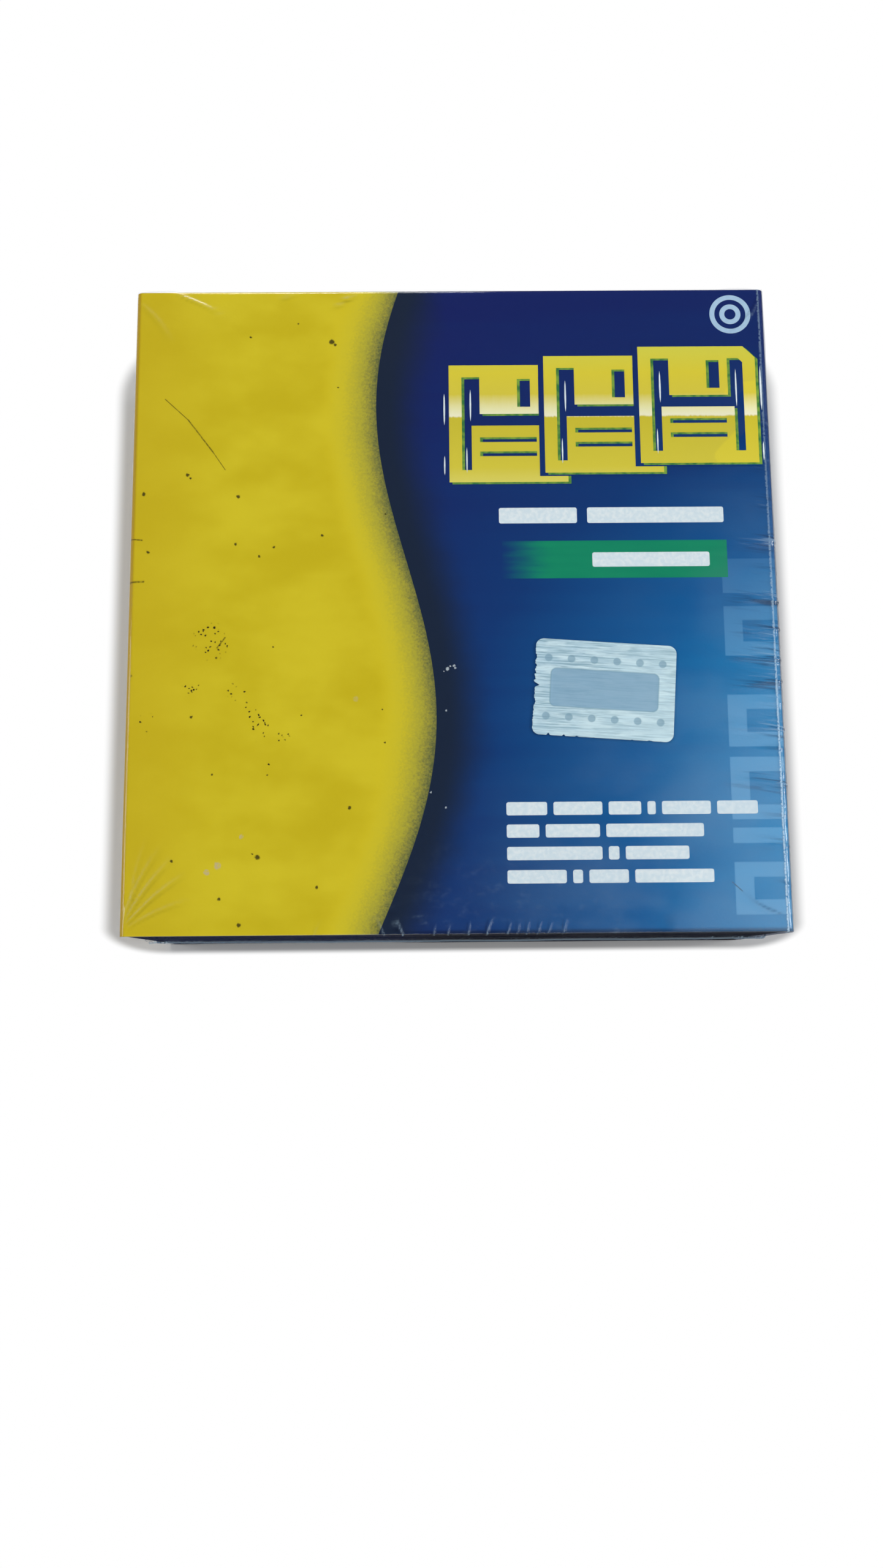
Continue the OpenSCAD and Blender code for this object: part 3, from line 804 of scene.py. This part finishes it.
# Painted reflection: the whitish cloud over the lower right of the front stands for the overhead panel's
# reflection; along the bottom it is a faint mottled milkiness
haze_and_sheen = low_right * broad.rise(0.3, 0.7, 0.0, 0.13) + bottom_haze * mottle.rise(0.5, 0.74) * 0.036
haze_and_sheen = (haze_and_sheen * (z > PACK_D - 1.1) + fold_highlight * 0.7) * x.rise(-12, 2)
weld = abs(z - PACK_D / 2).rise(0.5, 0.12) * (x > 0.5 - PACK_W / 2)
haze_and_sheen = haze_and_sheen.over(weld * 0.3)
at_ends = abs(y) > PACK_H / 2 - 0.4
light_flank, dark_flank, gathered = (clear.add("Attribute", {"attribute_name": name}, output=2)
                                     for name in ("light_flank", "dark_flank", "gathered"))
slanted = clear.add("CombineXYZ", None, [x, y + x * 0.13, z])
along_x = clear.grain(slanted, (8, 0.42, 8), 2.0, 0.6)
along_y = clear.grain(point, (0.4, 7, 7), 2.0, 0.6)
streaks = along_x * (1 - at_ends) + along_y * at_ends
# Painted highlights on the fold flanks toward the light and along the gathered streaks, where the stretched
# film also whitens
haze_and_sheen = haze_and_sheen.over(light_flank * tight.rise(0.2, 0.6) * x.rise(-30, 10, 0.13, 0.42))
haze_and_sheen = haze_and_sheen.over(streaks.rise(0.53, 0.66) * gathered * 0.5)
milky_and_sheen = clear.add("BsdfDiffuse", None, {"Color": colour(176, 206, 228)})
through = clear.add("BsdfTransparent", None, {"Color": (0.985, 0.99, 0.995, 1)})
# Painted shade: a dark tint over the shaded flanks of the folds, the gathered streaks, and the right and
# bottom walls
dim = clear.add("BsdfTransparent", None, {"Color": (0.1, 0.14, 0.24, 1)})
dark = dark_flank * tight.rise(0.15, 0.5) * x.rise(-30, 10, 0.2, 0.75)
dark = dark.over(streaks.rise(0.47, 0.38) * gathered * 1.1)
dark = dark.over(x.rise(46.95, 47.35) * 0.3).over(y.rise(-47.6, -48.3) * x.rise(-12, 0) * 0.6)
through = clear.add("MixShader", None, [dark, through, dim])
body = clear.add("MixShader", None, [haze_and_sheen, through, milky_and_sheen])
wrinkles = clear.bump(tight * 0.04 + streaks * gathered, 0.5, 0.0002)
gloss = clear.add("BsdfGlossy", None, {"Color": (1, 1, 1, 1), "Roughness": broad.rise(0.2, 0.8, 0.1, 0.17),
                                       "Normal": wrinkles})
GLOSS_MOST, GLOSS_DULL = 0.09, 0.022
dull = (x.rise(46.5, 46.9) * (z > PACK_D - 2)).over(y < 0.4 - PACK_H / 2)
cap = GLOSS_MOST - dull * (GLOSS_MOST - GLOSS_DULL)
mirror = clear.add("Fresnel", None, {"IOR": 1.35, "Normal": wrinkles}).maths("MINIMUM", cap)
shrink_film = clear.surface(clear.add("MixShader", None, [mirror, body, gloss]))

# The inner wall lies close over the board and shows nothing
unseen = Finish("film_inner_face")
film_inner_face = unseen.surface(unseen.add("BsdfTransparent", None, {"Color": (1, 1, 1, 1)}))
inner.data.materials.append(film_inner_face)
film.data.materials.append(shrink_film)
bpy.ops.object.select_all(action="DESELECT")
inner.select_set(True)
film.select_set(True)
bpy.context.view_layer.objects.active = film
bpy.ops.object.join()
film.name = film.data.name = "shrunk_film"
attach(film, "root")
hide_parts("film_wrap")
bpy.ops.object.select_all(action="DESELECT")


# Security sticker: a die-cut patch of embossed silver foil, stuck on the film a little out of square. It has
# a fine lengthwise grain, two rows of round dimples and a smooth bare plate. Its left side is torn ragged.
FOIL_T = 0.09
FOIL_CORNER = 1.2
DIMPLE_D, DIMPLE_PITCH, DIMPLE_ROW, DIMPLE_COUNT = 1.15, 3.3, 4.3, 6
PLATE_W, PLATE_H, PLATE_CORNER = 15.6, 5.6, 0.8
FOIL_CELL = 0.13


def round_box(x, y, width, height, corner):
    """Distance to a rectangle with rounded corners, below 0 inside it."""
    past_x = np.abs(x) - (width / 2 - corner)
    past_y = np.abs(y) - (height / 2 - corner)
    outside = np.hypot(np.maximum(past_x, 0), np.maximum(past_y, 0))
    return outside + np.minimum(np.maximum(past_x, past_y), 0) - corner


bpy.ops.mesh.primitive_grid_add(x_subdivisions=round(STICKER_W / FOIL_CELL),
                                y_subdivisions=round(STICKER_H / FOIL_CELL), size=2)
sticker = bpy.context.object
share = place_of(sticker) * MM      # the grid's own numbers, from -1 to 1
x, y = share[:, 0] * STICKER_W / 2, share[:, 1] * STICKER_H / 2
# The square corners of the grid are drawn in to quarter circles
past_x = np.maximum(np.abs(x) - (STICKER_W / 2 - FOIL_CORNER), 0)
past_y = np.maximum(np.abs(y) - (STICKER_H / 2 - FOIL_CORNER), 0)
reach = np.hypot(past_x, past_y)
pull = np.where(reach > 0, np.maximum(past_x, past_y) / np.maximum(reach, 1e-9), 1)
x -= np.sign(x) * past_x * (1 - pull)
y -= np.sign(y) * past_y * (1 - pull)
# The torn left side, its nick, and small nibbles along the bottom
coarse = np.array([noise.noise(Vector((v * 1.9, 4.2, 0))) for v in y])
ragged = np.array([noise.noise(Vector((v * 5.5, 9.1, 0))) for v in y])
tear = coarse + 0.6 * ragged
off_corners = np.clip((6.6 - np.abs(y)) / 2, 0, 1)
x += np.clip((-x - STICKER_W / 2 + 1.6) / 1.6, 0, 1) * (0.16 + 0.3 * tear) * off_corners
nick = np.exp(-((y - 0.15) / 0.22) ** 2) * 0.75
x += np.clip((-x - STICKER_W / 2 + 2.2) / 2.2, 0, 1) * nick
nibble = np.array([max(0.0, noise.noise(Vector((v * 1.6, 1.7, 3.3))) - 0.28) for v in x])
y += np.clip((-y - STICKER_H / 2 + 1.2) / 1.2, 0, 1) * nibble * 1.1
plate_gap = round_box(x, y, PLATE_W, PLATE_H, PLATE_CORNER)
relief = 0.02 * np.exp(-((plate_gap + 0.05) / 0.16) ** 2) - 0.015 * (plate_gap < -0.2)
for index in range(DIMPLE_COUNT):
    for side in (-1, 1):
        from_middle = (index - (DIMPLE_COUNT - 1) / 2) * DIMPLE_PITCH
        off = np.hypot(x - from_middle, y - side * DIMPLE_ROW) / (DIMPLE_D / 2)
        relief -= 0.045 * np.clip(1 - off ** 2, 0, 1) ** 0.5
        relief += 0.012 * np.exp(-((off - 1.12) / 0.14) ** 2)
relief += 0.004 * np.sin(y * 9 + 0.6 * np.sin(x * 0.35)) * (plate_gap > 0)
turn = math.radians(STICKER_TURN)
lifted = np.exp(-((x + STICKER_W / 2) / 0.9) ** 2) * (0.03 + 0.05 * np.abs(tear))
points = np.stack([STICKER_X + x * math.cos(turn) - y * math.sin(turn),
                   STICKER_Y + x * math.sin(turn) + y * math.cos(turn),
                   PACK_D + FOIL_T + relief + lifted], axis=1)
set_places(sticker, points)
# The pattern follows the sticker by its UV map, in millimetres from its middle
pattern = sticker.data.uv_layers.active or sticker.data.uv_layers.new(name="foil")
for loop in sticker.data.loops:
    pattern.data[loop.index].uv = (x[loop.vertex_index], y[loop.vertex_index])
thick = sticker.modifiers.new("thickness", "SOLIDIFY")
thick.thickness = (FOIL_T - 0.02) * MM
thick.offset = -1
bpy.ops.object.modifier_apply(modifier=thick.name)
bpy.ops.object.shade_smooth_by_angle(angle=math.radians(50))

foil = Finish("foil")
uv = foil.add("TexCoord", output=2)
u, v = foil.parts(uv)[:2]
lines = foil.grain(uv, (7.0, 0.2, 1.0), 3.0, 0.6)
broad = foil.grain(uv, (5.0, 0.8, 1.0), 2.0, 0.5)
marks = foil.grain(uv, (2.6, 0.1, 1.0), 2.0, 0.5)
cloud = foil.grain(uv, (3.4, 2.2, 1.0), 4.0, 0.6)
silver = foil.blend(lines.rise(0.36, 0.64), colour(136, 168, 182), colour(190, 216, 226))
silver = foil.blend(broad.rise(0.46, 0.6) * 0.6, silver, colour(206, 228, 234))
silver = foil.blend(cloud.rise(0.4, 0.75) * 0.5, silver, colour(150, 182, 200))
silver = foil.blend(marks.rise(0.63, 0.7) * 0.55, silver, colour(92, 130, 150))
# Painted sheen: the foil lightens toward its lower right
silver = foil.blend((u - v * 0.8).rise(-8, 14) * 0.35, silver, colour(208, 232, 236))
past_u = (abs(u) - (PLATE_W / 2 - PLATE_CORNER)).over(0.0)
past_v = (abs(v) - (PLATE_H / 2 - PLATE_CORNER)).over(0.0)
from_plate = (past_u * past_u + past_v * past_v) ** 0.5
plate = from_plate.rise(PLATE_CORNER + 0.06, PLATE_CORNER - 0.06)
silver = foil.blend(plate * 0.85, silver, foil.blend(cloud, colour(112, 150, 176), colour(134, 170, 194)))
# Painted shade: the embossed rim round the plate and the hollows of the dimples are darkened
rim = abs(from_plate - PLATE_CORNER).rise(0.16, 0.04)
silver = foil.blend(rim * 0.5, silver, colour(112, 150, 168))
off_x = abs(u.maths("PINGPONG", DIMPLE_PITCH / 2) - DIMPLE_PITCH / 2)
off_y = abs(abs(v) - DIMPLE_ROW)
from_dimple = (off_x * off_x + off_y * off_y) ** 0.5
in_rows = abs(u) < DIMPLE_COUNT / 2 * DIMPLE_PITCH
dimple = from_dimple.rise(DIMPLE_D / 2 + 0.08, DIMPLE_D / 2 - 0.12) * in_rows
silver = foil.blend(dimple * 0.7, silver, colour(118, 152, 170))
sockets = {"Base Color": silver, "Metallic": 0.15, "Specular IOR Level": 0.25,
           "Roughness": lines.rise(0.2, 0.8, 0.34, 0.5), "Normal": foil.bump(lines, 0.3, 0.00006)}
foil_face = foil.surface(foil.add("BsdfPrincipled", None, sockets))
gather([sticker], "security_sticker", foil_face)
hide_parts("foil_sticker")


# The studio: a white table, four soft lamps round the pack and a weak panel overhead to its right, whose
# reflection lies over the lower right of the film. Near the pack the table is grey, a painted shade under the
# soft shadow that also falls there; past it, narrow along the near side, the table turns to plain white.
SHADOW_START, SHADOW_END = 9.4, 12.2
NEAR_INSET, NEAR_STEEP = 3.0, 2.5
SHADE_RING_GREY = 0.55


def looked_at(finish):
    """1 for rays from the camera, straight, by a mirror or through film, and 0 for the light of the lamps."""
    rays = finish.add("LightPath").socket.node.outputs
    camera_ray, glossy_ray, clear_ray = (Shade(finish, rays["Is %s Ray" % kind])
                                         for kind in ("Camera", "Glossy", "Transmission"))
    return camera_ray.over(glossy_ray).over(clear_ray)


bpy.ops.mesh.primitive_plane_add(size=6.0)
floor = bpy.context.object
floor.name = "floor"
table = Finish("table")
point, x, y, z = table.place()
past_x = (abs(x) - PACK_W / 2).over(0.0)
past_y = (y - PACK_H / 2).over(0.0).over((NEAR_INSET - PACK_H / 2 - y) * NEAR_STEEP)
away = ((past_x * past_x + past_y * past_y) ** 0.5).rise(SHADOW_START, SHADOW_END)
# Painted shade: the grey paper darkens the ring round the pack, on top of the real shadow that falls on it
paper = table.add("BsdfDiffuse", None, {"Color": (SHADE_RING_GREY, SHADE_RING_GREY, SHADE_RING_GREY, 1)})
bright = table.add("Emission", None, {"Color": (1, 1, 1, 1), "Strength": 1.0})
tabletop = table.add("MixShader", None, [away * looked_at(table), paper, bright])
floor.data.materials.append(table.surface(tabletop))


def lamp(name, place, size, power, tint=(1.0, 1.0, 1.0)):
    """A square soft lamp at a place in metres, turned to the pack."""
    bpy.ops.object.light_add(type="AREA", location=place)
    made = bpy.context.object
    made.name = name
    made.data.size = size
    made.data.energy = power
    made.data.color = tint
    made.rotation_euler = (-Vector(place)).to_track_quat("-Z", "Y").to_euler()


lamp("right_lamp", (0.75, 0.0, 0.5), 0.2, 3.4)
lamp("back_lamp", (-0.1, 0.75, 0.66), 0.25, 3.1)
lamp("left_lamp", (-0.8, 0.05, 0.6), 0.4, 3.2)
lamp("near_lamp", (0.05, -0.7, 0.75), 0.4, 1.6)
lamp("sheen_panel", (0.42, -0.04, 1.0), 0.42, 1.0, tint=(0.8, 0.9, 1.0))

world = bpy.data.worlds.new("studio")
bpy.context.scene.world = world
sky = Finish("studio", world)
level = sky.parts(sky.add("TexCoord"))[2]
glow = level.rise(0.0, 0.8, 0.75, 0.18)
strength = glow + looked_at(sky) * (1 - glow) * level.rise(0.25, 0.6, 1.0, 0.0)
backdrop = sky.add("Background", None, {"Color": (1, 1, 1, 1), "Strength": strength})
sky.add("OutputWorld", None, {"Surface": backdrop})

# The camera stands over the lower half of the pack and looks down at it, a little tilted
CAMERA_PLACE = (-0.00311, -0.05484, 0.21718)
CAMERA_TURN = (8.7, -0.278, -0.492)
CAMERA_LENS = 29.53
bpy.ops.object.camera_add(location=CAMERA_PLACE)
camera = bpy.context.object
camera.rotation_euler = [math.radians(turn) for turn in CAMERA_TURN]
camera.data.lens = CAMERA_LENS
camera.data.sensor_width = 36.0
camera.data.clip_start = 0.01
bpy.context.scene.camera = camera
bpy.context.scene.view_settings.view_transform = "Standard"
